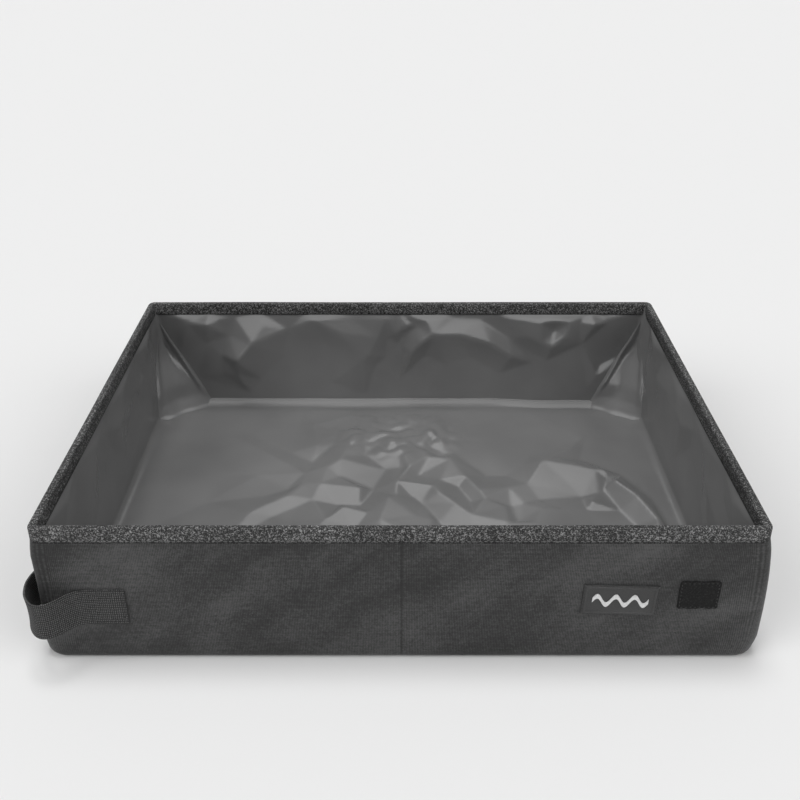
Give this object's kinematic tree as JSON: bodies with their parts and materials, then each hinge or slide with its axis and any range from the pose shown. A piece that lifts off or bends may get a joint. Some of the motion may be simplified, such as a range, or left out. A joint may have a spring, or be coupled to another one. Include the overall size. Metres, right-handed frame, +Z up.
{
  "type": "foldable litter tray",
  "caption": "Open rectangular fabric tray with boarded walls and base, a film liner, a taped rim, a webbing strap at one corner and a small label, folding flat across its middle.",
  "frame": {"origin": "middle of the tray's footprint, on the surface that it stands on", "axes": "+X to the right along the front wall, +Y to the back, +Z up"},
  "size_m": [0.4397, 0.3387, 0.097],
  "materials": {
    "coated_cloth": "dark grey coated oxford weave",
    "binding_tape": "coarse speckled woven tape",
    "liner_film": "satin waterproof film",
    "stiffener_board": "plain sheet",
    "strap_webbing": "woven webbing",
    "hook_and_loop": "hook and loop pile",
    "label_rubber": "moulded, matt",
    "pale_print": "printed",
    "sewing_thread": "thread"
  },
  "bodies": {
    "base_left": {"base_cover_left": "coated_cloth", "base_board_left": "stiffener_board", "floor_liner_left": "liner_film"},
    "base_right": {"base_cover_right": "coated_cloth", "base_board_right": "stiffener_board", "floor_liner_right": "liner_film"},
    "front_left_wall": {"front_left_cover": "coated_cloth", "front_left_board": "stiffener_board", "front_left_liner": "liner_film", "front_left_binding": "binding_tape", "strap_anchor_tab": "strap_webbing", "strap_anchor_stitching": "sewing_thread"},
    "back_left_wall": {"back_left_cover": "coated_cloth", "back_left_board": "stiffener_board", "back_left_liner": "liner_film", "back_left_binding": "binding_tape"},
    "end_left_wall": {"end_left_cover": "coated_cloth", "end_left_board": "stiffener_board", "end_left_liner": "liner_film", "end_left_binding": "binding_tape", "parking_loop_patch": "hook_and_loop"},
    "corner_front_left": {"corner_front_left_cloth": "coated_cloth", "corner_front_left_film": "liner_film", "corner_front_left_binding": "binding_tape"},
    "corner_back_left": {"corner_back_left_cloth": "coated_cloth", "corner_back_left_film": "liner_film", "corner_back_left_binding": "binding_tape"},
    "front_right_wall": {"front_right_cover": "coated_cloth", "front_right_board": "stiffener_board", "front_right_liner": "liner_film", "front_right_binding": "binding_tape", "closure_loop_patch": "hook_and_loop", "closure_patch_stitching": "sewing_thread", "label_plate": "label_rubber", "label_border": "label_rubber", "label_motif": "pale_print", "label_stitching": "sewing_thread"},
    "back_right_wall": {"back_right_cover": "coated_cloth", "back_right_board": "stiffener_board", "back_right_liner": "liner_film", "back_right_binding": "binding_tape"},
    "end_right_wall": {"end_right_cover": "coated_cloth", "end_right_board": "stiffener_board", "end_right_liner": "liner_film", "end_right_binding": "binding_tape"},
    "corner_front_right": {"corner_front_right_cloth": "coated_cloth", "corner_front_right_film": "liner_film", "corner_front_right_binding": "binding_tape"},
    "corner_back_right": {"corner_back_right_cloth": "coated_cloth", "corner_back_right_film": "liner_film", "corner_back_right_binding": "binding_tape"},
    "strap": {"carry_strap": "strap_webbing", "strap_hook_pad": "hook_and_loop"}
  },
  "joints": [
    {"name": "base_fold", "type": "hinge", "parent": "base_left", "child": "base_right", "pos_m": [0.001, 0, -0.00015], "axis": [0, 1, 0], "range_deg": [0, 180]},
    {"name": "end_left_fold", "type": "hinge", "parent": "base_left", "child": "end_left_wall", "pos_m": [-0.2068, 0, 0.0054], "axis": [0, 1, 0], "range_deg": [0, 90]},
    {"name": "corner_front_left_fold", "type": "hinge", "parent": "end_left_wall", "child": "corner_front_left", "pos_m": [-0.2108, -0.1559, 0.0054], "axis": [0, -0.7071, -0.7071], "range_deg": [0, 180], "deforming": ["corner_front_left_cloth", "corner_front_left_film", "corner_front_left_binding"]},
    {"name": "corner_back_left_fold", "type": "hinge", "parent": "end_left_wall", "child": "corner_back_left", "pos_m": [-0.2108, 0.1559, 0.0054], "axis": [0, -0.7071, 0.7071], "range_deg": [0, 180], "deforming": ["corner_back_left_cloth", "corner_back_left_film", "corner_back_left_binding"]},
    {"name": "end_right_fold", "type": "hinge", "parent": "base_right", "child": "end_right_wall", "pos_m": [0.2068, 0, 0.0054], "axis": [0, -1, 0], "range_deg": [0, 90]},
    {"name": "corner_front_right_fold", "type": "hinge", "parent": "end_right_wall", "child": "corner_front_right", "pos_m": [0.2108, -0.1559, 0.0054], "axis": [0, 0.7071, 0.7071], "range_deg": [0, 180], "deforming": ["corner_front_right_cloth", "corner_front_right_film", "corner_front_right_binding"]},
    {"name": "corner_back_right_fold", "type": "hinge", "parent": "end_right_wall", "child": "corner_back_right", "pos_m": [0.2108, 0.1559, 0.0054], "axis": [0, 0.7071, -0.7071], "range_deg": [0, 180], "deforming": ["corner_back_right_cloth", "corner_back_right_film", "corner_back_right_binding"]},
    {"name": "front_left_fold", "type": "hinge", "parent": "base_left", "child": "front_left_wall", "pos_m": [-0.105, -0.1568, 0.0155], "axis": [-1, 0, 0], "range_deg": [0, 90]},
    {"name": "front_right_fold", "type": "hinge", "parent": "base_right", "child": "front_right_wall", "pos_m": [0.105, -0.1568, 0.0155], "axis": [-1, 0, 0], "range_deg": [0, 90]},
    {"name": "back_left_fold", "type": "hinge", "parent": "base_left", "child": "back_left_wall", "pos_m": [-0.105, 0.1568, 0.0155], "axis": [1, 0, 0], "range_deg": [0, 90]},
    {"name": "back_right_fold", "type": "hinge", "parent": "base_right", "child": "back_right_wall", "pos_m": [0.105, 0.1568, 0.0155], "axis": [1, 0, 0], "range_deg": [0, 90]},
    {"name": "strap_swing", "type": "hinge", "parent": "front_left_wall", "child": "strap", "pos_m": [-0.18855, -0.16105, 0.041], "axis": [0, 0, 1], "range_deg": [0, 100]}
  ],
  "couplings": [
    {"joint": "end_right_fold", "follows": "end_left_fold", "ratio": 1},
    {"joint": "front_left_fold", "follows": "end_left_fold", "ratio": 1},
    {"joint": "front_right_fold", "follows": "end_left_fold", "ratio": 1},
    {"joint": "back_left_fold", "follows": "end_left_fold", "ratio": 1},
    {"joint": "back_right_fold", "follows": "end_left_fold", "ratio": 1},
    {"joint": "corner_front_left_fold", "follows": "end_left_fold", "ratio": 2},
    {"joint": "corner_front_right_fold", "follows": "end_left_fold", "ratio": 2},
    {"joint": "corner_back_left_fold", "follows": "end_left_fold", "ratio": 2},
    {"joint": "corner_back_right_fold", "follows": "end_left_fold", "ratio": 2}
  ]
}
